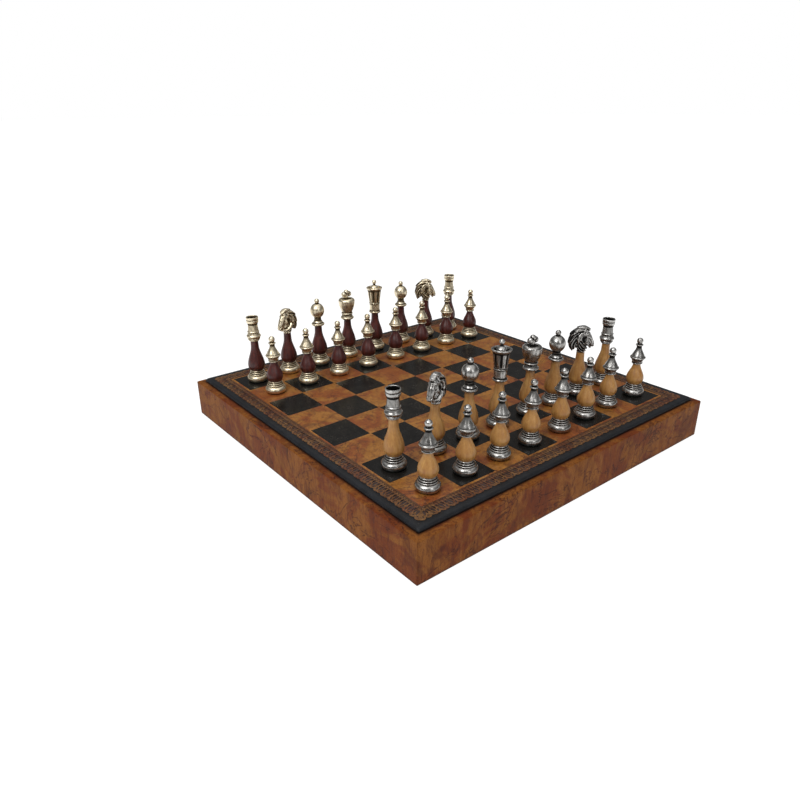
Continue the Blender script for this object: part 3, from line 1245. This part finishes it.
def studio_floor():
    """A flat round floor, wide enough to fill the picture."""
    turns, radii = 64, (0.5, 1.0, 2.0, 4.0, 12.0)
    angles = np.arange(turns) * 2 * math.pi / turns
    points = [(0, 0, 0)]
    for r in radii:
        points += [(r * math.cos(t) / MM, r * math.sin(t) / MM, 0) for t in angles]
    faces = [(0, 1 + i, 1 + (i + 1) % turns) for i in range(turns)]
    faces += [[corner + 1 for corner in face[::-1]] for face in ring_quads(len(radii), turns)]
    floor = placed("floor", make_mesh("floor", points, faces, [floor_paint()]))


def studio_world():
    """A white sweep seen straight on, and a softly banked studio for light and reflections."""
    world = bpy.data.worlds.new("studio")
    bpy.context.scene.world = world
    s = Shader("studio", world)
    height = s.node("SeparateXYZ", {0: s.node("TexCoord").outputs["Generated"]}).outputs[2]
    bank = s.ramp(height, (0.0, 1.0), (0.05, 0.4), (0.25, 0.22), (0.55, 0.3), (0.75, 1.2), (1.0, 1.3))
    lit = s.node("Background", {0: bank, 1: 0.5})
    seen = s.node("Background", {0: (1, 1, 1, 1), 1: 1.0})
    ray = s.node("LightPath").outputs["Is Camera Ray"]
    chosen = s.node("MixShader", {0: ray, 1: lit.outputs[0], 2: seen.outputs[0]})
    s.node("OutputWorld", {0: chosen.outputs[0]})


def lamp(name, kind, power, way, **settings):
    """A light that shines along the way."""
    data = bpy.data.lights.new(name, kind)
    data.energy = power
    for key, value in settings.items():
        setattr(data, key, value)
    made = placed(name, data)
    made.rotation_euler = Vector(way).to_track_quat("-Z", "Y").to_euler()
    return made


def softbox(name, spot, size, power):
    """A rectangular light at a spot, in metres, that shines on the middle of the board."""
    way = Vector((0, 0, 0.03)) - Vector(spot)
    made = lamp(name, "AREA", power, way, shape="RECTANGLE", size=size[0], size_y=size[1])
    made.location = spot


def studio_lights():
    softbox("key_softbox", (-1.1, -0.25, 1.25), (0.7, 0.7), 11)
    softbox("window_softbox", (-0.2, -1.5, 0.9), (0.35, 0.8), 3)
    softbox("rim_softbox", (0.7, 0.9, 1.7), (0.6, 0.6), 4)
    lamp("overhead", "SUN", 0.5, (0.25, 0.2, -1.0), angle=math.radians(50))


def photo_camera():
    """The viewing angle of a person who looks down across the near corner."""
    azimuth, pitch, roll = math.radians(-38.47), math.radians(24.42), math.radians(-0.39)
    squares = Vector((-10.970, -12.123, 7.038))  # from the middle of the board's top, in squares
    data = bpy.data.cameras.new("camera")
    data.sensor_width, data.lens = 36.0, 30.08
    data.clip_start, data.clip_end = 0.02, 60.0
    camera = placed("camera", data)
    turn = Matrix.Rotation(azimuth, 4, "Z") @ Matrix.Rotation(math.pi / 2 - pitch, 4, "X")
    spot = squares * SQUARE * MM + Vector((0, 0, BOARD_TOP * MM))
    camera.matrix_world = Matrix.Translation(spot) @ turn @ Matrix.Rotation(roll, 4, "Z")
    bpy.context.scene.camera = camera


photo_camera()
studio_floor()
studio_world()
studio_lights()
bpy.context.scene.view_settings.view_transform = "Standard"
carry_over()
box_cover()
linings()
board_leather()
edge_roll()
HORSE = horse_head()
dress_army("silver", SILVER, LIGHT_WOOD, ("silver_metal", "light_wood"), SILVER_LOOK, HORSE)
dress_army("gold", GOLD, DARK_WOOD, ("gold_metal", "dark_wood"), GOLD_LOOK, HORSE)
